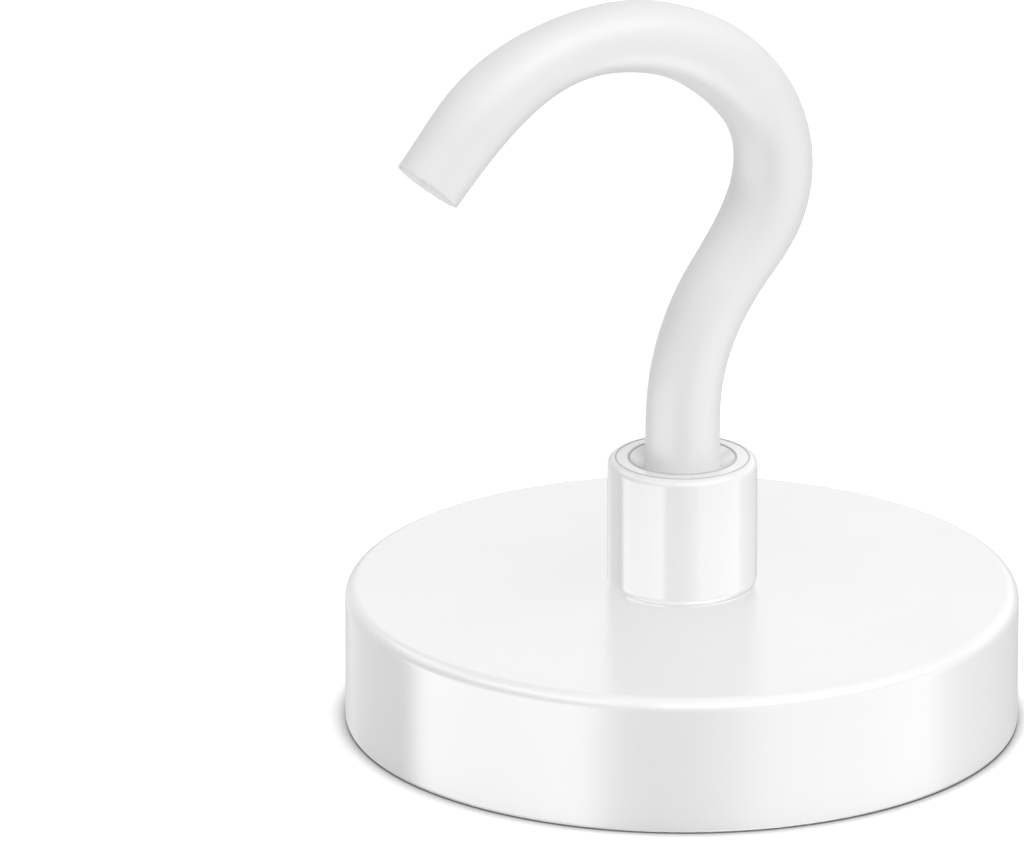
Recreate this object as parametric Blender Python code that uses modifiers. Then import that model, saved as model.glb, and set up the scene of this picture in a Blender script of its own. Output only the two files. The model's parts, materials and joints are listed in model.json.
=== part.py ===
"""Magnetic hook: a coated steel pot with a disc magnet, a riveted bush and a screw-in wire hook.

Metres, +Z up. The origin is the centre of the rim plane, which rests on the steel surface.
The hook's screw axis is Z, and its bends lie in the XZ plane with the tip towards -X.
"""

import math

import bmesh
import bpy
from mathutils import Vector

MM = 0.001

# Pot: the steel cup that closes the magnet's field
POT_DIAMETER = 36.0 * MM
POT_HEIGHT = 7.4 * MM
POT_WALL = 3.5 * MM
POT_TOP_RADIUS = 0.7 * MM
POT_RIM_RADIUS = 0.2 * MM
POT_MOUTH_CHAMFER = 0.2 * MM

# Magnet and the resin that beds it
MAGNET_THICKNESS = 4.0 * MM
MAGNET_RECESS = 0.4 * MM
MAGNET_CHAMFER = 0.3 * MM
RESIN_GAP = 0.5 * MM
RESIN_FILM = 0.3 * MM
RESIN_SINK = 0.25 * MM
RESIN_CLEARANCE = 0.1 * MM

# Wire hook: one cold-bent rod with a screw thread at its foot
WIRE_DIAMETER = 4.0 * MM
WIRE_END_RADIUS = 0.2 * MM
THREAD_CLEARANCE = 0.1 * MM
THREAD_TIP_CHAMFER = 0.5 * MM
STUD_END_GAP = 0.6 * MM
SEAM_DEPTH = 1.2 * MM
SEAM_GAP = 0.3 * MM

# Bends of the hook, in the order in which the rod is formed
SHANK_ABOVE_BUSH = 2.9 * MM
NECK_RADIUS = 10.0 * MM
NECK_ANGLE = math.radians(37.5)
NECK_STRAIGHT = 3.4 * MM
SHOULDER_RADIUS = 6.5 * MM
SHOULDER_ANGLE = math.radians(72.5)
BOWL_RADIUS = 11.5 * MM
BOWL_ANGLE = math.radians(101.0)
TIP_STRAIGHT = 3.9 * MM

# Bush: the turned boss that is riveted through the pot's web and takes the thread
BUSH_HEIGHT = 7.2 * MM
BUSH_WALL = 1.1 * MM
BUSH_TOP_RADIUS = 0.4 * MM
BUSH_FOOT_RADIUS = 0.45 * MM
BUSH_SEAT_GAP = 0.3 * MM
MOUTH_CLEARANCE = 0.9 * MM
MOUTH_DEPTH = 2.0 * MM
THREAD_LEAD_IN = 0.4 * MM
SPIGOT_WALL = 0.7 * MM
SPIGOT_CLEARANCE = 0.1 * MM
RIVET_FLARE = 0.6 * MM

# Fineness of the faceted solids
POT_SIDES = 72
BUSH_SIDES = 48
FILLET_STEPS = 4
WIRE_BEVEL_RESOLUTION = 10
BEND_STEP = math.radians(7.5)
END_ROUNDING_SEGMENTS = 2
SHARP_ANGLE = math.radians(40.0)
WELD_DISTANCE = 0.001 * MM

# Sizes that follow from the ones above
POT_OUTER = POT_DIAMETER / 2
POT_BORE = POT_OUTER - POT_WALL
MAGNET_OUTER = POT_BORE - RESIN_GAP
MAGNET_BACK = MAGNET_RECESS + MAGNET_THICKNESS
WEB_UNDERSIDE = MAGNET_BACK + RESIN_FILM + 2 * RESIN_CLEARANCE
WIRE_OUTER = WIRE_DIAMETER / 2
THREAD_BORE = WIRE_OUTER + THREAD_CLEARANCE
MOUTH_BORE = WIRE_OUTER + MOUTH_CLEARANCE
BUSH_OUTER = MOUTH_BORE + BUSH_WALL
BUSH_TOP = POT_HEIGHT + BUSH_HEIGHT
SPIGOT_OUTER = THREAD_BORE + SPIGOT_WALL
WEB_HOLE = SPIGOT_OUTER + SPIGOT_CLEARANCE
STUD_END = WEB_UNDERSIDE + STUD_END_GAP
HOOK_FOOT = BUSH_TOP - SEAM_DEPTH
STUD_TOP = HOOK_FOOT - SEAM_GAP


def clear_scene():
    for thing in list(bpy.data.objects):
        bpy.data.objects.remove(thing, do_unlink=True)


def new_collection(name):
    collection = bpy.data.collections.new(name)
    bpy.context.scene.collection.children.link(collection)
    return collection


def principled(name, colour, roughness, metallic):
    material = bpy.data.materials.new(name)
    material.use_nodes = True
    shader = material.node_tree.nodes["Principled BSDF"]
    shader.inputs["Base Color"].default_value = (*colour, 1.0)
    shader.inputs["Roughness"].default_value = roughness
    shader.inputs["Metallic"].default_value = metallic
    return material


def white_coat():
    return principled("white_powder_coat", colour=(0.90, 0.90, 0.90), roughness=0.25, metallic=0.0)


def nickel_plate():
    return principled("satin_nickel_plate", colour=(0.66, 0.66, 0.65), roughness=0.35, metallic=1.0)


def black_resin():
    return principled("black_resin", colour=(0.01, 0.01, 0.01), roughness=0.40, metallic=0.0)


def zinc_plate():
    return principled("zinc_plate", colour=(0.62, 0.63, 0.64), roughness=0.30, metallic=1.0)


def arc(centre_r, centre_z, radius, start, end):
    """Points of a round corner in a turned profile, with angles in degrees from +X."""
    points = []
    for step in range(FILLET_STEPS + 1):
        angle = math.radians(start + (end - start) * step / FILLET_STEPS)
        points.append((centre_r + radius * math.cos(angle), centre_z + radius * math.sin(angle)))
    return points


def turned(name, profile, sides, material, collection, height, ring=False):
    """Turn a profile of (radius, z) about Z, and stand it at its height on the axis.

    The profile runs down the outer side. A ring's profile is a closed loop, and any
    other starts and ends on the axis.
    """
    mesh = bpy.data.meshes.new(name)
    edges = [(i, i + 1) for i in range(len(profile) - 1)]
    if ring:
        edges.append((len(profile) - 1, 0))
    mesh.from_pydata([(r, 0, z) for r, z in profile], edges, [])
    mesh.materials.append(material)
    piece = bpy.data.objects.new(name, mesh)
    collection.objects.link(piece)
    piece.location.z = height
    screw = piece.modifiers.new("turn", "SCREW")
    screw.axis = "Z"
    screw.angle = math.tau
    screw.steps = sides
    screw.render_steps = sides
    screw.use_merge_vertices = True
    screw.merge_threshold = WELD_DISTANCE
    screw.use_smooth_shade = True
    return piece


def pot_cup(collection, material):
    """Deep steel cup, open below, with a countersunk hole for the bush in its web."""
    sink_drop = RIVET_FLARE + SPIGOT_CLEARANCE * (math.sqrt(2) - 1)
    sink_outer = SPIGOT_OUTER + RIVET_FLARE + SPIGOT_CLEARANCE * math.sqrt(2)
    top_centre = (POT_OUTER - POT_TOP_RADIUS, POT_HEIGHT - POT_TOP_RADIUS)
    profile = [(WEB_HOLE, POT_HEIGHT)]
    profile += arc(*top_centre, POT_TOP_RADIUS, 90, 0)
    profile += arc(POT_OUTER - POT_RIM_RADIUS, POT_RIM_RADIUS, POT_RIM_RADIUS, 0, -90)
    profile += [
        (POT_BORE + POT_MOUTH_CHAMFER, 0),
        (POT_BORE, POT_MOUTH_CHAMFER),
        (POT_BORE, WEB_UNDERSIDE),
        (sink_outer, WEB_UNDERSIDE),
        (WEB_HOLE, WEB_UNDERSIDE + sink_drop),
    ]
    return turned("pot_cup", profile, POT_SIDES, material, collection, 0, ring=True)


def magnet_disc(collection, material):
    """Solid disc magnet with a small chamfer on both edges, set below the rim."""
    inner = MAGNET_OUTER - MAGNET_CHAMFER
    profile = [
        (0, MAGNET_THICKNESS),
        (inner, MAGNET_THICKNESS),
        (MAGNET_OUTER, MAGNET_THICKNESS - MAGNET_CHAMFER),
        (MAGNET_OUTER, MAGNET_CHAMFER),
        (inner, 0),
        (0, 0),
    ]
    return turned("magnet_disc", profile, POT_SIDES, material, collection, MAGNET_RECESS)


def resin_bed(collection, material):
    """Cured resin: a film behind the magnet and a ring between it and the pot's wall."""
    foot = MAGNET_RECESS + RESIN_SINK
    outer = POT_BORE - RESIN_CLEARANCE
    inner = MAGNET_OUTER + RESIN_CLEARANCE
    film_back = WEB_UNDERSIDE - RESIN_CLEARANCE - foot
    film_front = MAGNET_BACK + RESIN_CLEARANCE - foot
    profile = [
        (0, film_back),
        (outer, film_back),
        (outer, 0),
        (inner, 0),
        (inner, film_front),
        (0, film_front),
    ]
    return turned("resin_bed", profile, POT_SIDES, material, collection, foot)


def threaded_bush(collection, material):
    """Turned boss with a counterbored mouth, and a spigot peened over under the web.

    Heights are measured from the pot's top, where the shoulder sits.
    """
    mouth_floor = BUSH_HEIGHT - MOUTH_DEPTH
    rivet_foot = WEB_UNDERSIDE - POT_HEIGHT
    top_centre = (BUSH_OUTER - BUSH_TOP_RADIUS, BUSH_HEIGHT - BUSH_TOP_RADIUS)
    foot_centre = (BUSH_OUTER - BUSH_FOOT_RADIUS, BUSH_SEAT_GAP + BUSH_FOOT_RADIUS)
    profile = [(MOUTH_BORE, BUSH_HEIGHT)]
    profile += arc(*top_centre, BUSH_TOP_RADIUS, 90, 0)
    profile += arc(*foot_centre, BUSH_FOOT_RADIUS, 0, -90)
    profile += [
        (SPIGOT_OUTER, BUSH_SEAT_GAP),
        (SPIGOT_OUTER, rivet_foot + RIVET_FLARE),
        (SPIGOT_OUTER + RIVET_FLARE, rivet_foot),
        (THREAD_BORE, rivet_foot),
        (THREAD_BORE, mouth_floor - THREAD_LEAD_IN),
        (THREAD_BORE + THREAD_LEAD_IN, mouth_floor),
        (MOUTH_BORE, mouth_floor),
    ]
    return turned("threaded_bush", profile, BUSH_SIDES, material, collection, POT_HEIGHT, ring=True)


def hook_stud(collection, material):
    """Threaded foot of the hook's rod, from its chamfered end to inside the bush's mouth."""
    length = STUD_TOP - STUD_END
    profile = [
        (0, length),
        (WIRE_OUTER, length),
        (WIRE_OUTER, THREAD_TIP_CHAMFER),
        (WIRE_OUTER - THREAD_TIP_CHAMFER, 0),
        (0, 0),
    ]
    return turned("hook_stud", profile, BUSH_SIDES, material, collection, STUD_END)


def hook_route():
    """Centreline of the bent rod in the XZ plane, from its foot to its tip.

    A bend is its radius and angle, positive to the left of the way that the rod runs.
    """
    steps = [
        (0, BUSH_TOP + SHANK_ABOVE_BUSH - HOOK_FOOT),
        (NECK_RADIUS, -NECK_ANGLE),
        (0, NECK_STRAIGHT),
        (SHOULDER_RADIUS, SHOULDER_ANGLE),
        (BOWL_RADIUS, BOWL_ANGLE),
        (0, TIP_STRAIGHT),
    ]
    here = Vector((0, 0, 0))
    heading = math.pi / 2
    points = [here.copy()]
    for radius, amount in steps:
        ahead = Vector((math.cos(heading), 0, math.sin(heading)))
        if radius == 0:
            points.append(here + ahead * amount)
        else:
            side = math.copysign(radius, amount)
            left = Vector((-ahead.z, 0, ahead.x))
            centre = here + left * side
            count = math.ceil(abs(amount) / BEND_STEP)
            for step in range(1, count + 1):
                turn = amount * step / count
                spoke = -left * math.cos(turn) + ahead * math.sin(turn)
                points.append(centre + spoke * side)
            heading += amount
        here = points[-1]
    return points


def hook(collection, material):
    """Bent rod of the hook, standing on the screw axis inside the bush's mouth."""
    curve = bpy.data.curves.new("hook_rod", "CURVE")
    curve.dimensions = "3D"
    curve.bevel_depth = WIRE_OUTER
    curve.bevel_resolution = WIRE_BEVEL_RESOLUTION
    curve.use_fill_caps = True
    route = hook_route()
    spline = curve.splines.new("POLY")
    spline.points.add(len(route) - 1)
    for point, place in zip(spline.points, route):
        point.co = (*place, 1.0)
    rod = bpy.data.objects.new("hook_rod", curve)
    collection.objects.link(rod)
    rod.location.z = HOOK_FOOT
    bpy.context.view_layer.update()
    mesh = bpy.data.meshes.new_from_object(rod.evaluated_get(bpy.context.evaluated_depsgraph_get()))
    shape = bmesh.new()
    shape.from_mesh(mesh)
    bmesh.ops.remove_doubles(shape, verts=shape.verts, dist=WELD_DISTANCE)
    shape.to_mesh(mesh)
    shape.free()
    mesh.shade_smooth()
    mesh.set_sharp_from_angle(angle=SHARP_ANGLE)
    mesh.materials.clear()
    mesh.materials.append(material)
    piece = bpy.data.objects.new("hook", mesh)
    collection.objects.link(piece)
    piece.matrix_world = rod.matrix_world.copy()
    bpy.data.objects.remove(rod, do_unlink=True)
    rounding = piece.modifiers.new("end_rounding", "BEVEL")
    rounding.limit_method = "ANGLE"
    rounding.angle_limit = SHARP_ANGLE
    rounding.width = WIRE_END_RADIUS
    rounding.segments = END_ROUNDING_SEGMENTS
    return piece


def build():
    clear_scene()
    collection = new_collection("magnetic_hook")
    coat = white_coat()
    pot_cup(collection, coat)
    threaded_bush(collection, coat)
    magnet_disc(collection, nickel_plate())
    resin_bed(collection, black_resin())
    hook_stud(collection, zinc_plate())
    hook(collection, coat)


build()
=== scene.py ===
"""Magnetic hook in white: the looks of every piece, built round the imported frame.

Metres, +Z up. The pot's rim lies on the floor at z = 0, the screw axis is Z, and the hook bends in
the XZ plane with its tip towards -X.
"""

import json
import math

import bmesh
import bpy
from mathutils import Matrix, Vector


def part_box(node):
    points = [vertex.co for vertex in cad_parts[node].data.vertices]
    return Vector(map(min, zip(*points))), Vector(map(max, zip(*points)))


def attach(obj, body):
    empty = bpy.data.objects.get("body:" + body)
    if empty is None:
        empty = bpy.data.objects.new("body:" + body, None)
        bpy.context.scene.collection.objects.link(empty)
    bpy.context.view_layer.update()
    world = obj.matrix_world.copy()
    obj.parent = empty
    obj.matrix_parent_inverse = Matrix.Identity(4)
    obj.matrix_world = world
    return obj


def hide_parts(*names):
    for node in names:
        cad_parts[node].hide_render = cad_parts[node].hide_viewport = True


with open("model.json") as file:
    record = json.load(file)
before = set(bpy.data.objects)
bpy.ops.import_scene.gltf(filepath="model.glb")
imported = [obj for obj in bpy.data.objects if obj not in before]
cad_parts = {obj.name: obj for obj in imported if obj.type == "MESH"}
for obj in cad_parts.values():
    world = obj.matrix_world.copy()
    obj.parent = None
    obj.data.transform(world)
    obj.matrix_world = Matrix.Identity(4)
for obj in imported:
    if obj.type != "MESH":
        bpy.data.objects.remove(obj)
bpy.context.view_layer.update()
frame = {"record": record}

# Pot
# The pot is a cup of mild steel, turned from bar, which leads the magnet's field round to its rim.
# It is nickel plated, then dusted outside with white polyester powder and baked, so that the coat
# flows out to a glossy skin with a faint orange peel. The bore is masked and stays bare.

MM = 0.001
POT_SEGMENTS = 256
ARC_STEPS = 12
HOLD = 0.02 * MM
SHORT_FLAT = 5 * HOLD
WELD = 0.001 * MM
SHARP_ANGLE = math.radians(40.0)
POT_WALL = 3.5 * MM
POT_TOP_RADIUS = 0.7 * MM
POT_RIM_RADIUS = 0.2 * MM
POT_MOUTH_CHAMFER = 0.2 * MM
POT_SINK_DEPTH = 0.6 * MM
POT_HOLE_RADIUS = 2.9 * MM
PEEL_WIDTH = 1.6 * MM
GRAIN_WIDTH = 0.35 * MM
PEELS_PER_PATCH = 4
NOISE_LOW = 0.3
NOISE_HIGH = 0.7
TOOL_FEED = 0.08 * MM
TOOL_MARK_DEPTH = 0.0006 * MM
TOOL_MARK_STRETCH = (0.02, 0.02, 1.0)

pot_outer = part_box("pot_cup")[1].x
pot_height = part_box("pot_cup")[1].z
pot_bore = pot_outer - POT_WALL
web_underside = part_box("threaded_bush")[0].z


def linear(code):
    """Linear RGBA of an sRGB hex colour such as #F2F2F0."""
    channels = [int(code[place : place + 2], 16) / 255 for place in (1, 3, 5)]
    return (*[c / 12.92 if c <= 0.04045 else ((c + 0.055) / 1.055) ** 2.4 for c in channels], 1.0)


def add_node(tree, kind, inputs=(), **settings):
    """Add a node to a tree, with its settings, and fill or link its inputs."""
    node = tree.nodes.new(kind)
    for name, value in settings.items():
        setattr(node, name, value)
    for key, value in dict(inputs).items():
        if isinstance(value, bpy.types.NodeSocket):
            tree.links.new(value, node.inputs[key])
        else:
            node.inputs[key].default_value = value
    return node


def new_finish(name, roughness, metallic=0.0):
    """Start a material: (material, its tree, its shader's inputs, Object coordinates)."""
    material = bpy.data.materials.new(name)
    material.use_nodes = True
    tree = material.node_tree
    shader = tree.nodes["Principled BSDF"].inputs
    shader["Roughness"].default_value = roughness
    shader["Metallic"].default_value = metallic
    return material, tree, shader, add_node(tree, "ShaderNodeTexCoord").outputs["Object"]


def baked_coat(name, thin, thick, gloss, roughness, peel, grain):
    """Coat that is sprayed on and baked. It is a little greyer and duller in the patches where it
    lies thin.

    Its skin has two waves, the wide orange peel of the melt and the finer grain of the spray. Each is
    given as (width, depth), and roughness as (where thick, where thin).
    """
    material, tree, shader, place = new_finish(name, roughness[0])
    shader["Specular IOR Level"].default_value = gloss
    cover = add_node(
        tree,
        "ShaderNodeTexNoise",
        {"Vector": place, "Scale": 1 / (PEELS_PER_PATCH * peel[0]), "Detail": 3.0},
    ).outputs["Fac"]
    colour = add_node(
        tree, "ShaderNodeMix", {0: cover, 6: linear(thin), 7: linear(thick)}, data_type="RGBA"
    )
    tree.links.new(colour.outputs[2], shader["Base Color"])
    dulling = add_node(
        tree,
        "ShaderNodeMapRange",
        {
            "Value": cover,
            "From Min": NOISE_LOW,
            "From Max": NOISE_HIGH,
            "To Min": roughness[1],
            "To Max": roughness[0],
        },
    )
    tree.links.new(dulling.outputs["Result"], shader["Roughness"])
    skin = None
    for width, depth in (peel, grain):
        wave = add_node(
            tree, "ShaderNodeTexNoise", {"Vector": place, "Scale": 1 / width, "Detail": 1.0}
        ).outputs["Fac"]
        below = {"Normal": skin} if skin else {}
        bump = add_node(
            tree, "ShaderNodeBump", {"Strength": 1.0, "Distance": depth, "Height": wave, **below}
        )
        skin = bump.outputs["Normal"]
    tree.links.new(skin, shader["Normal"])
    return material


def arc(centre_r, centre_z, radius, start, end):
    """Points of a round corner in a turned profile, with angles in degrees from +X."""
    points = []
    for step in range(ARC_STEPS + 1):
        angle = math.radians(start + (end - start) * step / ARC_STEPS)
        points.append((centre_r + radius * math.cos(angle), centre_z + radius * math.sin(angle)))
    return points


def turn(profile, segments):
    """Turn a profile of (radius, height) about the screw axis. Each flat longer than SHORT_FLAT gets a
    ring at HOLD from either end, which keeps its shading flat up to the corners."""
    corners = [Vector((r, 0, z)) for r, z in profile]
    points = [corners[0]]
    for start, end in zip(corners, corners[1:]):
        along = end - start
        if along.length > SHORT_FLAT:
            points.append(start + along.normalized() * HOLD)
            points.append(end - along.normalized() * HOLD)
        points.append(end)
    shape = bmesh.new()
    verts = [shape.verts.new(point) for point in points]
    edges = [shape.edges.new(pair) for pair in zip(verts, verts[1:])]
    bmesh.ops.spin(
        shape,
        geom=verts + edges,
        cent=(0, 0, 0),
        axis=(0, 0, 1),
        angle=math.tau,
        steps=segments,
        use_duplicate=False,
    )
    return shape


def finished(name, shapes, materials):
    """Join shapes, each in its own material, into one closed smooth piece with its faces outwards.
    Spin makes faces in no fixed order, so they are sorted by their points and every run is alike."""
    whole = bmesh.new()
    for slot, shape in enumerate(shapes):
        for face in shape.faces:
            face.material_index = slot
        part = bpy.data.meshes.new("part_of_" + name)
        shape.to_mesh(part)
        shape.free()
        whole.from_mesh(part)
        bpy.data.meshes.remove(part)
    bmesh.ops.remove_doubles(whole, verts=whole.verts, dist=WELD)
    bmesh.ops.holes_fill(whole, edges=[edge for edge in whole.edges if edge.is_boundary])
    bmesh.ops.recalc_face_normals(whole, faces=whole.faces)
    whole.verts.index_update()
    in_order = sorted(whole.faces, key=lambda face: [vert.index for vert in face.verts])
    for number, face in enumerate(in_order):
        face.index = number
    whole.faces.sort()
    mesh = bpy.data.meshes.new(name)
    whole.to_mesh(mesh)
    whole.free()
    for material in materials:
        mesh.materials.append(material)
    mesh.shade_smooth()
    mesh.set_sharp_from_angle(angle=SHARP_ANGLE)
    piece = bpy.data.objects.new(name, mesh)
    bpy.context.scene.collection.objects.link(piece)
    return piece


def turned_nickel():
    """Bright nickel plate on turned steel: a warm silver that keeps the faint rings of the tool, one
    for each turn of its feed."""
    material, tree, shader, place = new_finish("bright_nickel_plate", roughness=0.14, metallic=1.0)
    stretched = add_node(tree, "ShaderNodeMapping", {"Vector": place, "Scale": TOOL_MARK_STRETCH})
    rings = add_node(
        tree, "ShaderNodeTexNoise", {"Vector": stretched.outputs["Vector"], "Scale": 1 / TOOL_FEED}
    ).outputs["Fac"]
    tint = add_node(
        tree,
        "ShaderNodeMix",
        {0: rings, 6: linear("#CFCAC0"), 7: linear("#E0DDD5")},
        data_type="RGBA",
    )
    tree.links.new(tint.outputs[2], shader["Base Color"])
    skin = add_node(tree, "ShaderNodeBump", {"Distance": TOOL_MARK_DEPTH, "Height": rings})
    tree.links.new(skin.outputs["Normal"], shader["Normal"])
    return material


# Gloss polyester powder. Its broad reflections have soft edges and waver with the orange peel.
pot_coat = baked_coat(
    "gloss_white_powder_coat",
    thin="#EFEFEF",
    thick="#F2F2F2",
    gloss=0.5,
    roughness=(0.2, 0.26),
    peel=(PEEL_WIDTH, 0.001 * MM),
    grain=(GRAIN_WIDTH, 0.0002 * MM),
)
nickel = turned_nickel()

pot_outside = [(POT_HOLE_RADIUS, pot_height)]
pot_outside += arc(pot_outer - POT_TOP_RADIUS, pot_height - POT_TOP_RADIUS, POT_TOP_RADIUS, 90, 0)
pot_outside += arc(pot_outer - POT_RIM_RADIUS, POT_RIM_RADIUS, POT_RIM_RADIUS, 0, -90)
pot_outside += [(pot_bore + POT_MOUTH_CHAMFER, 0), (pot_bore, POT_MOUTH_CHAMFER)]
pot_inside = [
    (pot_bore, POT_MOUTH_CHAMFER),
    (pot_bore, web_underside),
    (POT_HOLE_RADIUS + POT_SINK_DEPTH, web_underside),
    (POT_HOLE_RADIUS, web_underside + POT_SINK_DEPTH),
    (POT_HOLE_RADIUS, pot_height),
]
pot = finished(
    "pot", [turn(pot_outside, POT_SEGMENTS), turn(pot_inside, POT_SEGMENTS)], [pot_coat, nickel]
)
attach(pot, "pot")
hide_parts("pot_cup")

# Bush
# The bush is a turned steel boss with an M4 thread, which starts in a countersink round the rod. Its
# spigot goes through the pot and is peened over underneath. It is coated in one go with the pot. Two
# fine beads on its top, round the countersink and at the edge, are drawn in matt grey: painted shade
# that stands in for the dark lines at the countersink's edge and at the top's edge.

BUSH_SEGMENTS = 128
BUSH_TOP_RADIUS = 0.4 * MM
BUSH_TOP_ANGLE = 78
BUSH_FOOT_RADIUS = 0.55 * MM
BUSH_FOOT_ANGLE = 55
BUSH_SEAT_GAP = 0.005 * MM
SPIGOT_RADIUS = 2.8 * MM
SINK_RADIUS = 2.79 * MM
SINK_DEPTH = 0.5 * MM
SINK_BEAD_WIDTH = 0.14 * MM
EDGE_BEAD_WIDTH = 0.08 * MM
BORE_DEPTH = 2.0 * MM
THREAD_FOOT_RADIUS = 2.3 * MM
THREAD_ROWS = 16
FLANK_SHARE = 5 / 16
TOOTH_SHARE = 12 / 16
THREAD_DEPTH_SHARE = 0.5413
COAT_THICKNESS = 0.05 * MM
THREAD_SLACK = 0.07 * MM

bush_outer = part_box("threaded_bush")[1].x
bush_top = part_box("threaded_bush")[1].z
thread_head = bush_top - BORE_DEPTH
rod_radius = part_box("hook_stud")[1].x
thread_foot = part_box("hook_stud")[0].z
thread_radius = rod_radius - COAT_THICKNESS
thread_pitch = frame["record"]["behaviour"]["couplings"][0]["ratio"] * math.tau
thread_depth = THREAD_DEPTH_SHARE * thread_pitch
bore_radius = thread_radius + THREAD_SLACK


def work_out(tree, formula, values):
    """Add Math nodes for rows of (name, operation, terms), and return values with the results added.
    A term is a number, or the name of a value or of an earlier row."""
    values = dict(values)
    for name, operation, *terms in formula:
        inputs = {number: values.get(term, term) for number, term in enumerate(terms)}
        row = add_node(tree, "ShaderNodeMath", inputs, operation=operation, label=name)
        values[name] = row.outputs["Value"]
    return values


def thread_tree():
    """Geometry Nodes tree of a screw thread: a grid rolled into a tube, whose rows climb one pitch a
    turn and whose teeth have the ISO flanks of 60 degrees.

    Side is 1 for a thread on a rod and -1 for one in a hole. Datum is a height where a tooth starts,
    so that a rod and its hole share their teeth. Rows past the two ends fall onto the end rings.
    """
    tree = bpy.data.node_groups.new("screw_thread", "GeometryNodeTree")
    tree.interface.new_socket(name="Geometry", in_out="OUTPUT", socket_type="NodeSocketGeometry")
    tree.interface.new_socket(name="Geometry", in_out="INPUT", socket_type="NodeSocketGeometry")
    sizes = "Foot, Head, Datum, Major Radius, Depth, Pitch, Run Out, Foot Radius, Head Radius, Side"
    for name in sizes.split(", "):
        tree.interface.new_socket(name=name, in_out="INPUT", socket_type="NodeSocketFloat")
    for name in ("Segments", "Rows"):
        tree.interface.new_socket(name=name, in_out="INPUT", socket_type="NodeSocketInt")
    tree.interface.new_socket(name="Material", in_out="INPUT", socket_type="NodeSocketMaterial")
    given = {socket.name: socket for socket in add_node(tree, "NodeGroupInput").outputs}
    place = add_node(tree, "GeometryNodeInputPosition").outputs["Position"]
    flat = add_node(tree, "ShaderNodeSeparateXYZ", {"Vector": place}).outputs
    formula = (
        ("height", "SUBTRACT", "Head", "Foot"),
        ("turns", "DIVIDE", "height", "Pitch"),
        ("turns and slant", "ADD", "turns", 1),
        ("rows needed", "MULTIPLY", "turns and slant", "Rows"),
        ("rows rounded", "CEIL", "rows needed"),
        ("rows", "ADD", "rows rounded", 2),
        ("row points", "ADD", "rows", 1),
        ("round points", "ADD", "Segments", 1),
        ("foot over datum", "SUBTRACT", "Foot", "Datum"),
        ("foot turns", "DIVIDE", "foot over datum", "Pitch"),
        ("first turns", "SUBTRACT", "foot turns", 1),
        ("first rows", "MULTIPLY", "first turns", "Rows"),
        ("first row", "FLOOR", "first rows"),
        ("turn", "ADD", "across", 0.5),
        ("share up", "ADD", "along", 0.5),
        ("rows up", "MULTIPLY", "share up", "rows"),
        ("row", "ADD", "rows up", "first row"),
        ("winding", "DIVIDE", "row", "Rows"),
        ("climb", "ADD", "winding", "turn"),
        ("raw height", "MULTIPLY_ADD", "climb", "Pitch", "Datum"),
        ("over foot", "MAXIMUM", "raw height", "Foot"),
        ("z", "MINIMUM", "over foot", "Head"),
        ("above foot", "SUBTRACT", "z", "Foot"),
        ("below head", "SUBTRACT", "Head", "z"),
        ("phase", "FRACT", "winding"),
        ("up flank", "DIVIDE", "phase", FLANK_SHARE),
        ("to root", "SUBTRACT", TOOTH_SHARE, "phase"),
        ("down flank", "DIVIDE", "to root", FLANK_SHARE),
        ("flank", "MINIMUM", "up flank", "down flank"),
        ("flank over root", "MAXIMUM", "flank", 0),
        ("tooth", "MINIMUM", "flank over root", 1),
        ("groove", "SUBTRACT", 1, "tooth"),
        ("full cut", "MULTIPLY", "groove", "Depth"),
        ("run out", "DIVIDE", "below head", "Run Out"),
        ("fade", "MINIMUM", "run out", 1),
        ("cut", "MULTIPLY", "full cut", "fade"),
        ("thread radius", "SUBTRACT", "Major Radius", "cut"),
        ("sided radius", "MULTIPLY", "thread radius", "Side"),
        ("foot cone", "MULTIPLY_ADD", "Foot Radius", "Side", "above foot"),
        ("head cone", "MULTIPLY_ADD", "Head Radius", "Side", "below head"),
        ("nearer cone", "MINIMUM", "foot cone", "head cone"),
        ("kept radius", "MINIMUM", "sided radius", "nearer cone"),
        ("radius", "MULTIPLY", "kept radius", "Side"),
        ("angle", "MULTIPLY", "turn", math.tau),
        ("cosine", "COSINE", "angle"),
        ("sine", "SINE", "angle"),
        ("x", "MULTIPLY", "radius", "cosine"),
        ("y", "MULTIPLY", "radius", "sine"),
    )
    values = work_out(tree, formula, {**given, "across": flat["X"], "along": flat["Y"]})
    grid = add_node(
        tree,
        "GeometryNodeMeshGrid",
        {"Vertices X": values["round points"], "Vertices Y": values["row points"]},
    )
    spot = add_node(tree, "ShaderNodeCombineXYZ", {"X": values["x"], "Y": values["y"], "Z": values["z"]})
    rolled = add_node(
        tree,
        "GeometryNodeSetPosition",
        {"Geometry": grid.outputs["Mesh"], "Position": spot.outputs["Vector"]},
    )
    closed = add_node(
        tree, "GeometryNodeMergeByDistance", {"Geometry": rolled.outputs["Geometry"], "Distance": WELD}
    )
    real = add_node(tree, "GeometryNodeRealizeInstances", {"Geometry": closed.outputs["Geometry"]})
    painted = add_node(
        tree,
        "GeometryNodeSetMaterial",
        {"Geometry": real.outputs["Geometry"], "Material": given["Material"]},
    )
    add_node(tree, "NodeGroupOutput", {"Geometry": painted.outputs["Geometry"]})
    return tree


def grown(tree, start, sizes):
    """Shape that a Geometry Nodes tree grows from the mesh start, with its inputs set by their names."""
    source = bpy.data.objects.new("start_of_" + tree.name, start)
    bpy.context.scene.collection.objects.link(source)
    modifier = source.modifiers.new(tree.name, "NODES")
    modifier.node_group = tree
    for item in tree.interface.items_tree:
        if item.in_out == "INPUT" and item.name in sizes:
            modifier[item.identifier] = sizes[item.name]
    ready = source.evaluated_get(bpy.context.evaluated_depsgraph_get())
    mesh = bpy.data.meshes.new_from_object(ready)
    bpy.data.objects.remove(source, do_unlink=True)
    shape = bmesh.new()
    shape.from_mesh(mesh)
    bpy.data.meshes.remove(mesh)
    return shape


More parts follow.
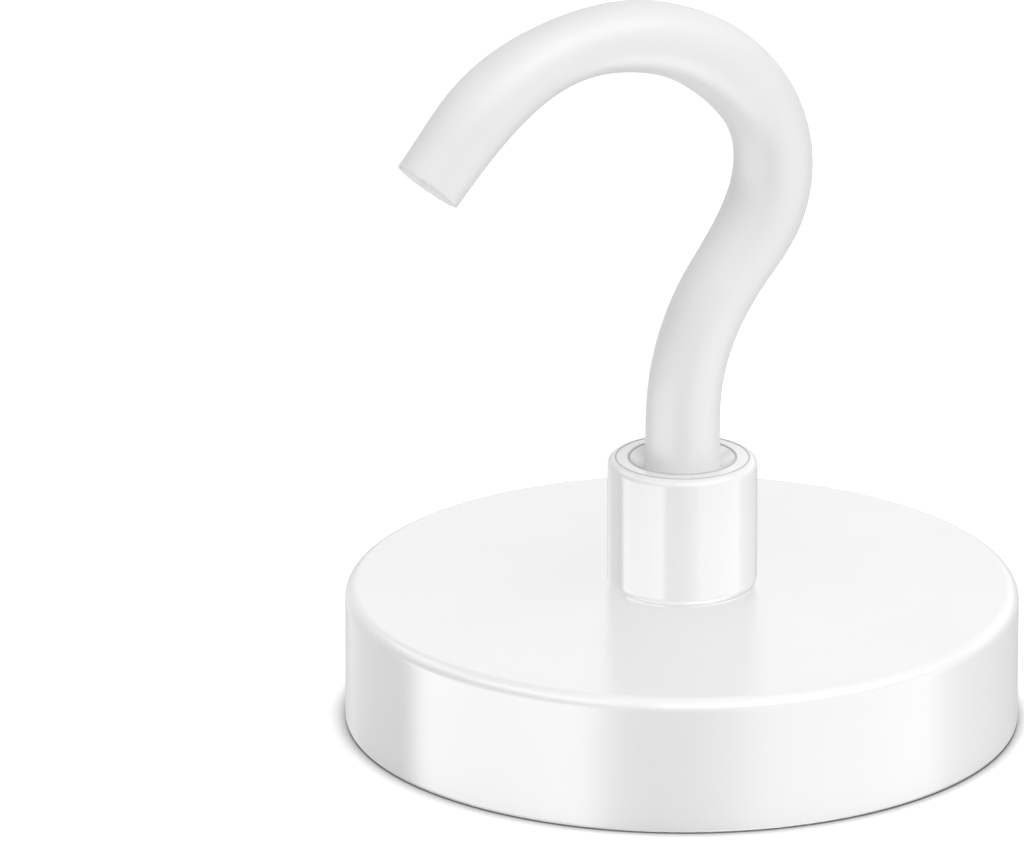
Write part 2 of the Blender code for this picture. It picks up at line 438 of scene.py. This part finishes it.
def bead(inner, width, level):
    """Points of a fine half-round bead that stands on a flat top, from the inside out."""
    return arc(inner + width / 2, level, width / 2, 180, 0)


# The same powder, smoother and less peeled on the small boss, so that its reflections have edges. Its
# white is drawn a shade darker than the pot's: painted shade that tones down the brightly lit boss.
bush_coat = baked_coat(
    "bright_white_powder_coat",
    thin="#EBEBEB",
    thick="#EFEFEF",
    gloss=0.3,
    roughness=(0.08, 0.12),
    peel=(PEEL_WIDTH, 0.0005 * MM),
    grain=(GRAIN_WIDTH, 0.0001 * MM),
)
# Matt grey and finely grained: painted shade, which draws each bead as a thin dark line.
painted_shade_grey = baked_coat(
    "grey_painted_shade_lines",
    thin="#BEBEBE",
    thick="#C8C8C8",
    gloss=0.2,
    roughness=(0.6, 0.7),
    peel=(0.4 * MM, 0.0005 * MM),
    grain=(0.1 * MM, 0.0002 * MM),
)
screw_thread = thread_tree()
bush_thread = grown(
    screw_thread,
    bpy.data.meshes.new("bush_thread"),
    {
        "Foot": web_underside,
        "Head": thread_head,
        "Datum": thread_foot,
        "Major Radius": bore_radius,
        "Depth": thread_depth,
        "Pitch": thread_pitch,
        "Run Out": WELD,  # the bush is cut right through, so its thread has no run-out
        "Foot Radius": THREAD_FOOT_RADIUS,
        "Head Radius": bore_radius,
        "Side": -1.0,
        "Segments": BUSH_SEGMENTS,
        "Rows": THREAD_ROWS,
        "Material": nickel,
    },
)
bush_seat = pot_height + BUSH_SEAT_GAP
foot_middle = bush_seat + BUSH_FOOT_RADIUS
sink_profile = [
    (bore_radius, thread_head),
    (bore_radius, bush_top - SINK_DEPTH),
    (SINK_RADIUS, bush_top),
]
sink_bead = bead(SINK_RADIUS, SINK_BEAD_WIDTH, bush_top)
edge_bead = bead(bush_outer - BUSH_TOP_RADIUS - EDGE_BEAD_WIDTH, EDGE_BEAD_WIDTH, bush_top)
top_middle = bush_top - BUSH_TOP_RADIUS
bush_profile = [edge_bead[-1]]
bush_profile += arc(bush_outer - BUSH_TOP_RADIUS, top_middle, BUSH_TOP_RADIUS, BUSH_TOP_ANGLE, 0)
bush_profile += arc(bush_outer - BUSH_FOOT_RADIUS, foot_middle, BUSH_FOOT_RADIUS, 0, -BUSH_FOOT_ANGLE)
bush_profile += [
    (bush_profile[-1][0], bush_seat),
    (SPIGOT_RADIUS, bush_seat),
    (SPIGOT_RADIUS, web_underside + POT_SINK_DEPTH),
    (SPIGOT_RADIUS + POT_SINK_DEPTH, web_underside),
    (THREAD_FOOT_RADIUS, web_underside),
]
# The two beads are grey as painted shade: the dark lines at the countersink's edge and the top's edge.
bush = finished(
    "bush",
    [
        turn(sink_profile, BUSH_SEGMENTS),
        turn(sink_bead, BUSH_SEGMENTS),
        turn([sink_bead[-1], edge_bead[0]], BUSH_SEGMENTS),
        turn(edge_bead, BUSH_SEGMENTS),
        turn(bush_profile, BUSH_SEGMENTS),
        bush_thread,
    ],
    [bush_coat, painted_shade_grey, bush_coat, painted_shade_grey, bush_coat, nickel],
)
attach(bush, "pot")
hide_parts("threaded_bush")

# Resin
# Black epoxy is poured round the magnet, and holds it in the pot. It cures to a smooth ring whose
# face sinks a little between the magnet and the bore, and to a thin film behind the magnet.

RESIN_GAP = 0.01 * MM
RESIN_EDGE_DEPTH = 0.55 * MM
RESIN_SAG = 0.16 * MM
RESIN_SPECK_WIDTH = 0.2 * MM
RESIN_SPECK_DEPTH = 0.004 * MM

magnet_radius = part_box("magnet_disc")[1].x
magnet_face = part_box("magnet_disc")[0].z
magnet_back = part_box("magnet_disc")[1].z


def cast_resin():
    """Filled black epoxy. It cures dark and smooth, with a few specks of dust and tiny air pits."""
    material, tree, shader, place = new_finish("black_cast_epoxy", roughness=0.32)
    specks = add_node(
        tree, "ShaderNodeTexNoise", {"Vector": place, "Scale": 1 / RESIN_SPECK_WIDTH, "Detail": 4.0}
    )
    colour = add_node(
        tree,
        "ShaderNodeMix",
        {0: specks.outputs["Fac"], 6: linear("#0D0D0E"), 7: linear("#1B1B1C")},
        data_type="RGBA",
    )
    tree.links.new(colour.outputs[2], shader["Base Color"])
    skin = add_node(
        tree, "ShaderNodeBump", {"Distance": RESIN_SPECK_DEPTH, "Height": specks.outputs["Fac"]}
    )
    tree.links.new(skin.outputs["Normal"], shader["Normal"])
    return material


resin_inner = magnet_radius + RESIN_GAP
resin_outer = pot_bore - RESIN_GAP
film_top = web_underside - RESIN_GAP
film_foot = magnet_back + RESIN_GAP
resin_profile = [(0, film_top), (resin_outer, film_top), (resin_outer, RESIN_EDGE_DEPTH)]
for step in range(1, ARC_STEPS):
    share = step / ARC_STEPS
    out = resin_outer + (resin_inner - resin_outer) * share
    resin_profile.append((out, RESIN_EDGE_DEPTH + RESIN_SAG * math.sin(math.pi * share)))
resin_profile += [(resin_inner, RESIN_EDGE_DEPTH), (resin_inner, film_foot), (0, film_foot)]
resin = finished("resin", [turn(resin_profile, POT_SEGMENTS)], [cast_resin()])
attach(resin, "pot")
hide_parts("resin_bed")

# Magnet
# The magnet is a sintered disc, ground flat, tumbled to round its brittle edge and plated with satin
# nickel. The plate follows the grain of the ground face, so the grey face looks finely speckled.

MAGNET_EDGE_RADIUS = 0.3 * MM
MAGNET_GRAIN_WIDTH = 0.12 * MM
MAGNET_GRAIN_DEPTH = 0.003 * MM
MAGNET_CLOUD_WIDTH = 6 * MM
MAGNET_ROUGHNESS = (0.32, 0.44)


def satin_nickel():
    """Nickel plate over a ground face: a speckled silver grey. The grain is drawn twice as wide as
    the real one, so that it still shows in the render."""
    roughness = sum(MAGNET_ROUGHNESS) / 2
    material, tree, shader, place = new_finish("satin_nickel_plate", roughness, metallic=1.0)
    grain = add_node(
        tree, "ShaderNodeTexNoise", {"Vector": place, "Scale": 1 / MAGNET_GRAIN_WIDTH, "Detail": 3.0}
    )
    cloud = add_node(
        tree, "ShaderNodeTexNoise", {"Vector": place, "Scale": 1 / MAGNET_CLOUD_WIDTH, "Detail": 2.0}
    )
    colour = add_node(
        tree,
        "ShaderNodeMix",
        {0: grain.outputs["Fac"], 6: linear("#B4B4B3"), 7: linear("#DADAD9")},
        data_type="RGBA",
    )
    tree.links.new(colour.outputs[2], shader["Base Color"])
    dulling = add_node(
        tree,
        "ShaderNodeMapRange",
        {"Value": cloud.outputs["Fac"], "To Min": MAGNET_ROUGHNESS[0], "To Max": MAGNET_ROUGHNESS[1]},
    )
    tree.links.new(dulling.outputs["Result"], shader["Roughness"])
    skin = add_node(
        tree, "ShaderNodeBump", {"Distance": MAGNET_GRAIN_DEPTH, "Height": grain.outputs["Fac"]}
    )
    tree.links.new(skin.outputs["Normal"], shader["Normal"])
    return material


magnet_flat = magnet_radius - MAGNET_EDGE_RADIUS
magnet_profile = [(0, magnet_back)]
magnet_profile += arc(magnet_flat, magnet_back - MAGNET_EDGE_RADIUS, MAGNET_EDGE_RADIUS, 90, 0)
magnet_profile += arc(magnet_flat, magnet_face + MAGNET_EDGE_RADIUS, MAGNET_EDGE_RADIUS, 0, -90)
magnet_profile.append((0, magnet_face))
magnet = finished("magnet", [turn(magnet_profile, POT_SEGMENTS)], [satin_nickel()])
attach(magnet, "pot")
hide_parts("magnet_disc")

# Hook
# The hook is one steel rod of 4 mm, cut, threaded at its foot and bent cold round three pegs. The
# bends pull it thinner at its top and press it wider at its outer turn, as in the photograph. It is
# zinc plated, and coated white down to the thread.

ROD_SEGMENTS = 96
ROD_STEP = 0.25 * MM
ROD_END_RADIUS = 0.08 * MM
ROD_END_STEPS = 6
BEND_BLEND = 2.4 * MM
BLEND_SAMPLES = 12
COAT_START = 13.25 * MM
THREAD_RUN_OUT = 0.6 * MM
THREAD_TIP_RADIUS = 1.45 * MM
SHANK_ABOVE_BUSH = 2.33 * MM
NECK_RADIUS = 11.5 * MM
NECK_ANGLE = math.radians(-39.1)
NECK_STRAIGHT = 2.66 * MM
SHOULDER_RADIUS = 6.31 * MM
SHOULDER_ANGLE = math.radians(75.1)
BOWL_RADIUS = 11.72 * MM
BOWL_ANGLE = math.radians(102.0)
TIP_STRAIGHT = 3.27 * MM
ZINC_CLOUD_WIDTH = 0.9 * MM
ZINC_ROUGHNESS = (0.3, 0.42)

# How long each stretch of the rod is, and how far it turns to the left.
rod_stretches = (
    (bush_top + SHANK_ABOVE_BUSH - COAT_START, 0.0),
    (NECK_RADIUS * abs(NECK_ANGLE), NECK_ANGLE),
    (NECK_STRAIGHT, 0.0),
    (SHOULDER_RADIUS * SHOULDER_ANGLE, SHOULDER_ANGLE),
    (BOWL_RADIUS * BOWL_ANGLE, BOWL_ANGLE),
    (TIP_STRAIGHT, 0.0),
)
rod_length = sum(length for length, turned in rod_stretches)

# How thick the rod is, as shares of its size, at shares of the way from the coat's start to its tip.
girth_shares = (
    (0.0, 1.0),
    (0.13, 0.99),
    (0.25, 1.0),
    (0.345, 1.08),
    (0.46, 1.03),
    (0.53, 1.04),
    (0.64, 0.975),
    (0.765, 0.908),
    (0.89, 1.005),
    (1.0, 0.945),
)


def heading(distance):
    """Direction of the rod, as an angle from +X, at a distance from the coat's start."""
    angle = math.pi / 2
    for length, turned in rod_stretches:
        angle += turned * min(max(distance / length, 0), 1)
        distance -= length
    return angle


def eased_heading(distance):
    """The same direction, eased where two stretches meet, because steel doesn't bend abruptly."""
    spread = [BEND_BLEND * (sample / BLEND_SAMPLES - 0.5) for sample in range(BLEND_SAMPLES + 1)]
    return sum(heading(distance + offset) for offset in spread) / len(spread)


def girth(share):
    """Thickness of the rod at a share of the way along it, eased between the table's shares."""
    for (start, thick), (end, next_thick) in zip(girth_shares, girth_shares[1:]):
        if share <= end:
            eased = 0.5 - 0.5 * math.cos(math.pi * (share - start) / (end - start))
            return thick + (next_thick - thick) * eased
    return girth_shares[-1][1]


def rod_route():
    """Centreline of the coated rod as a mesh of edges, with its thickness as the attribute girth. Its
    last points round the cut end's edge, and draw one ring on the end that keeps the flat flat."""
    body_length = rod_length - ROD_END_RADIUS
    body_steps = round(body_length / ROD_STEP)
    distances = [body_length * step / body_steps for step in range(body_steps + 1)]
    shares = [girth(distance / rod_length) for distance in distances]
    tip_share = girth(1.0)
    for step in range(1, ROD_END_STEPS + 1):
        angle = math.pi / 2 * step / ROD_END_STEPS
        distances.append(body_length + ROD_END_RADIUS * math.sin(angle))
        shares.append(tip_share - ROD_END_RADIUS * (1 - math.cos(angle)) / rod_radius)
    distances.append(rod_length + WELD)
    shares.append(shares[-1] - HOLD / rod_radius)
    points = [Vector((0, 0, COAT_START))]
    for last, distance in zip(distances, distances[1:]):
        angle = eased_heading((last + distance) / 2)
        ahead = Vector((math.cos(angle), 0, math.sin(angle)))
        points.append(points[-1] + ahead * (distance - last))
    route = bpy.data.meshes.new("rod_route")
    links = [(number, number + 1) for number in range(len(points) - 1)]
    route.from_pydata(points, links, [])
    route.attributes.new("girth", "FLOAT", "POINT").data.foreach_set("value", shares)
    return route


def rod_tree():
    """Geometry Nodes tree of a bent rod: a circle swept along a route, scaled by the route's girth."""
    tree = bpy.data.node_groups.new("bent_rod", "GeometryNodeTree")
    tree.interface.new_socket(name="Geometry", in_out="OUTPUT", socket_type="NodeSocketGeometry")
    tree.interface.new_socket(name="Geometry", in_out="INPUT", socket_type="NodeSocketGeometry")
    tree.interface.new_socket(name="Rod Radius", in_out="INPUT", socket_type="NodeSocketFloat")
    tree.interface.new_socket(name="Segments", in_out="INPUT", socket_type="NodeSocketInt")
    tree.interface.new_socket(name="Material", in_out="INPUT", socket_type="NodeSocketMaterial")
    given = add_node(tree, "NodeGroupInput").outputs
    route = add_node(tree, "GeometryNodeMeshToCurve", {"Mesh": given["Geometry"]})
    circle = add_node(
        tree,
        "GeometryNodeCurvePrimitiveCircle",
        {"Resolution": given["Segments"], "Radius": given["Rod Radius"]},
    )
    thickness = add_node(tree, "GeometryNodeInputNamedAttribute", {"Name": "girth"})
    swept = add_node(
        tree,
        "GeometryNodeCurveToMesh",
        {
            "Curve": route.outputs["Curve"],
            "Profile Curve": circle.outputs["Curve"],
            "Scale": thickness.outputs["Attribute"],
            "Fill Caps": True,
        },
    )
    real = add_node(tree, "GeometryNodeRealizeInstances", {"Geometry": swept.outputs["Mesh"]})
    painted = add_node(
        tree,
        "GeometryNodeSetMaterial",
        {"Geometry": real.outputs["Geometry"], "Material": given["Material"]},
    )
    add_node(tree, "NodeGroupOutput", {"Geometry": painted.outputs["Geometry"]})
    return tree


def zinc_plate():
    """Bright zinc on a cut thread: bluish silver, a little cloudy from its passivating dip."""
    roughness = sum(ZINC_ROUGHNESS) / 2
    material, tree, shader, place = new_finish("bright_zinc_plate", roughness, metallic=1.0)
    cloud = add_node(
        tree, "ShaderNodeTexNoise", {"Vector": place, "Scale": 1 / ZINC_CLOUD_WIDTH, "Detail": 4.0}
    )
    colour = add_node(
        tree,
        "ShaderNodeMix",
        {0: cloud.outputs["Fac"], 6: linear("#B9BDC2"), 7: linear("#DADCDD")},
        data_type="RGBA",
    )
    tree.links.new(colour.outputs[2], shader["Base Color"])
    dulling = add_node(
        tree,
        "ShaderNodeMapRange",
        {"Value": cloud.outputs["Fac"], "To Min": ZINC_ROUGHNESS[0], "To Max": ZINC_ROUGHNESS[1]},
    )
    tree.links.new(dulling.outputs["Result"], shader["Roughness"])
    return material


# Satin powder. Its highlights are wide and weak, and fade softly round the rod. Its white is drawn
# greyer than the pot's: painted shade that deepens the rod's shaded sides and underside.
hook_coat = baked_coat(
    "satin_white_powder_coat",
    thin="#DFDFDF",
    thick="#E3E3E3",
    gloss=0.6,
    roughness=(0.46, 0.52),
    peel=(PEEL_WIDTH, 0.001 * MM),
    grain=(GRAIN_WIDTH, 0.0002 * MM),
)
rod_shape = grown(
    rod_tree(),
    rod_route(),
    {"Rod Radius": rod_radius, "Segments": ROD_SEGMENTS, "Material": hook_coat},
)
hook = finished("hook_rod", [rod_shape], [hook_coat])
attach(hook, "hook")
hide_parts("hook")

zinc = zinc_plate()
hook_thread = grown(
    screw_thread,
    bpy.data.meshes.new("hook_thread"),
    {
        "Foot": thread_foot,
        "Head": COAT_START,
        "Datum": thread_foot,
        "Major Radius": thread_radius,
        "Depth": thread_depth,
        "Pitch": thread_pitch,
        "Run Out": THREAD_RUN_OUT,
        "Foot Radius": THREAD_TIP_RADIUS,
        "Head Radius": thread_radius,
        "Side": 1.0,
        "Segments": ROD_SEGMENTS,
        "Rows": THREAD_ROWS,
        "Material": zinc,
    },
)
hook_foot = finished("hook_foot", [hook_thread], [zinc])
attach(hook_foot, "hook")
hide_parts("hook_stud")

# Studio
# The hook stands on a white table. The table and everything behind it are white to the camera, with
# the hook's own shadow on the table and a painted contact shadow under the pot's front. The light is
# soft, and the panels are there for the gloss alone.

FLOOR_SIZE = 4.0
FLOOR_GAP = 0.02 * MM
FLOOR_GLOW = 0.75
TOOTH_WIDTH = 1.5 * MM
CONTACT_REACH = 5.0 * MM
CONTACT_LEAN = 0.1
CONTACT_CLOSED = 0.47
CONTACT_OPEN = 0.64
CONTACT_FADE = 1.1
CONTACT_DARKEST = 0.15
CAMERA_DISTANCE = 0.8
CAMERA_AZIMUTH = math.radians(-32.0)
CAMERA_ELEVATION = math.radians(19.3)
CAMERA_LENS = 528.5
TARGET_HEIGHT = 16.57 * MM
TARGET_SIDE = -9.08 * MM
SOFT_LEVEL = 0.94
SOFT_SLOPE = 0.48
PANEL_EDGE = 8.0

# Panels round the hook that its gloss shows, in degrees from the camera and up from the floor: where
# each stands, half its width and height, and how bright it is, where 1 is the white background.
panels = (
    (0.0, -90.0, 188.0, 30.0, 4.0),
    (-4.0, -15.0, 17.0, 45.0, 0.0),
    (-66.0, -19.0, 42.0, 20.0, 6.6),
    (60.0, -34.0, 42.0, 38.0, 3.2),
    (0.0, -54.0, 115.0, 15.0, 5.0),
    (48.0, -62.0, 36.0, 18.0, 10.0),
    (-146.0, -25.0, 33.0, 38.0, 1.4),
    (-174.0, -25.0, 16.0, 38.0, 0.8),
    (143.0, -25.0, 36.0, 38.0, 0.5),
    (-122.0, 36.0, 26.0, 17.0, 3.8),
    (-62.0, 50.0, 40.0, 20.0, 4.5),
    (42.0, 48.0, 56.0, 25.0, 5.0),
    (0.0, 90.0, 188.0, 33.0, 1.6),
    (180.0, 20.0, 70.0, 16.0, 1.5),
)

camera_right = Vector((math.cos(CAMERA_AZIMUTH), math.sin(CAMERA_AZIMUTH), 0))
camera_away = Vector((-math.sin(CAMERA_AZIMUTH), math.cos(CAMERA_AZIMUTH), 0))
camera_sight = math.cos(CAMERA_ELEVATION) * camera_away - Vector((0, 0, math.sin(CAMERA_ELEVATION)))
camera_target = camera_right * TARGET_SIDE + Vector((0, 0, TARGET_HEIGHT))


def white_table():
    """Matt white laminate with a fine even tooth. It glows a little to the camera, so that it turns
    white in the open. Its colour and glow are darkened where the pot closes it in towards the back: a
    painted contact shadow, which lies under the pot's front."""
    material, tree, shader, place = new_finish("matt_white_laminate", roughness=0.9)
    shader["Specular IOR Level"].default_value = 0.0
    tooth = add_node(
        tree, "ShaderNodeTexNoise", {"Vector": place, "Scale": 1 / TOOTH_WIDTH, "Detail": 2.0}
    )
    colour = add_node(
        tree,
        "ShaderNodeMix",
        {0: tooth.outputs["Fac"], 6: linear("#C2C2C2"), 7: linear("#C8C8C8")},
        data_type="RGBA",
    )
    # Painted contact shadow: an AO mask that leans towards the back darkens the table's colour and glow.
    leaning = tuple((camera_away + Vector((0, 0, CONTACT_LEAN))).normalized())
    crack = add_node(
        tree, "ShaderNodeAmbientOcclusion", {"Distance": CONTACT_REACH, "Normal": leaning}, samples=16
    ).outputs
    closed = add_node(
        tree,
        "ShaderNodeMapRange",
        {
            "Value": crack["AO"],
            "From Min": CONTACT_CLOSED,
            "From Max": CONTACT_OPEN,
            "To Min": 1.0,
            "To Max": 0.0,
        },
    )
    formula = (
        ("shade", "POWER", "closed", CONTACT_FADE),
        ("lit", "MULTIPLY_ADD", "shade", CONTACT_DARKEST - 1, 1.0),
        ("mirrored", "ADD", "Is Glossy Ray", "Is Transmission Ray"),
        ("shown", "ADD", "Is Camera Ray", "mirrored"),
        ("full glow", "MULTIPLY", "shown", FLOOR_GLOW),
        ("glow", "MULTIPLY", "full glow", "lit"),
    )
    rays = add_node(tree, "ShaderNodeLightPath").outputs
    values = {"closed": closed.outputs["Result"], **{name: rays[name] for name in rays.keys()}}
    values = work_out(tree, formula, values)
    shaded = add_node(
        tree,
        "ShaderNodeMix",
        {0: values["lit"], 6: linear("#000000"), 7: colour.outputs[2]},
        data_type="RGBA",
    )
    tree.links.new(shaded.outputs[2], shader["Base Color"])
    shader["Emission Color"].default_value = linear("#FFFFFF")
    tree.links.new(values["glow"], shader["Emission Strength"])
    return material


def studio_world():
    """White background, soft light that comes a little more from the front right, and the panels."""
    world = bpy.data.worlds.new("studio")
    world.use_nodes = True
    tree = world.node_tree
    rays = add_node(tree, "ShaderNodeLightPath").outputs
    values = {name: rays[name] for name in rays.keys()}
    ray = add_node(tree, "ShaderNodeTexCoord").outputs["Generated"]
    values["up"] = add_node(tree, "ShaderNodeSeparateXYZ", {"Vector": ray}).outputs["Z"]
    for name, axis in (("to right", camera_right), ("to camera", -camera_away)):
        part = add_node(tree, "ShaderNodeVectorMath", {0: ray, 1: tuple(axis)}, operation="DOT_PRODUCT")
        values[name] = part.outputs["Value"]
    formula = [
        ("azimuth in radians", "ARCTAN2", "to right", "to camera"),
        ("azimuth", "DEGREES", "azimuth in radians"),
        ("elevation in radians", "ARCSINE", "up"),
        ("elevation", "DEGREES", "elevation in radians"),
        ("gloss", "ADD", 1.0, 0.0),
    ]
    for azimuth, elevation, half_width, half_height, level in panels:
        formula += [
            ("aside", "SUBTRACT", "azimuth", azimuth),
            ("nearest aside", "WRAP", "aside", 180.0, -180.0),
            ("from middle", "ABSOLUTE", "nearest aside"),
            ("inside width", "SUBTRACT", half_width, "from middle"),
            ("above", "SUBTRACT", "elevation", elevation),
            ("from level", "ABSOLUTE", "above"),
            ("inside height", "SUBTRACT", half_height, "from level"),
            ("inside", "MINIMUM", "inside width", "inside height"),
            ("share inside", "DIVIDE", "inside", PANEL_EDGE),
            ("share or none", "MAXIMUM", "share inside", 0.0),
            ("cover", "MINIMUM", "share or none", 1.0),
            ("change", "SUBTRACT", level, "gloss"),
            ("gloss", "MULTIPLY_ADD", "change", "cover", "gloss"),
        ]
    formula += [
        ("matt bounces", "MINIMUM", "Diffuse Depth", 1.0),
        ("straight", "SUBTRACT", 1.0, "matt bounces"),
        ("over white", "SUBTRACT", "gloss", 1.0),
        ("shown gloss", "MULTIPLY_ADD", "over white", "straight", 1.0),
        ("slope", "ADD", "to right", "to camera"),
        ("soft", "MULTIPLY_ADD", "slope", SOFT_SLOPE, SOFT_LEVEL),
        ("shown", "ADD", "Is Camera Ray", "Is Transmission Ray"),
        ("plain", "ADD", "shown", "Is Glossy Ray"),
        ("left for soft", "SUBTRACT", 1.0, "plain"),
        ("soft part", "MULTIPLY_ADD", "left for soft", "soft", "shown"),
        ("strength", "MULTIPLY_ADD", "Is Glossy Ray", "shown gloss", "soft part"),
    ]
    values = work_out(tree, formula, values)
    background = tree.nodes["Background"].inputs
    background["Color"].default_value = linear("#FFFFFF")
    tree.links.new(values["strength"], background["Strength"])
    world.cycles.sampling_method = "NONE"
    return world


table_shape = bmesh.new()
bmesh.ops.create_grid(table_shape, x_segments=1, y_segments=1, size=FLOOR_SIZE / 2)
bmesh.ops.translate(table_shape, verts=table_shape.verts, vec=(0, 0, -FLOOR_GAP))
table_mesh = bpy.data.meshes.new("table")
table_shape.to_mesh(table_mesh)
table_shape.free()
table_mesh.materials.append(white_table())
table = bpy.data.objects.new("table", table_mesh)
bpy.context.scene.collection.objects.link(table)

# The gloss shows the panels in place of these four, and the pot's top keeps no smudge from the bush.
for not_mirrored in (table, pot, resin, magnet):
    not_mirrored.visible_glossy = False
for not_shading in (bush, hook_foot):
    not_shading.visible_diffuse = False

bpy.context.scene.world = studio_world()

lens = bpy.data.cameras.new("camera")
lens.lens = CAMERA_LENS
lens.clip_start = 0.01
camera = bpy.data.objects.new("camera", lens)
camera.location = camera_target - camera_sight * CAMERA_DISTANCE
camera.rotation_euler = camera_sight.to_track_quat("-Z", "Y").to_euler()
bpy.context.scene.collection.objects.link(camera)
bpy.context.scene.camera = camera
bpy.context.scene.view_settings.view_transform = "Standard"
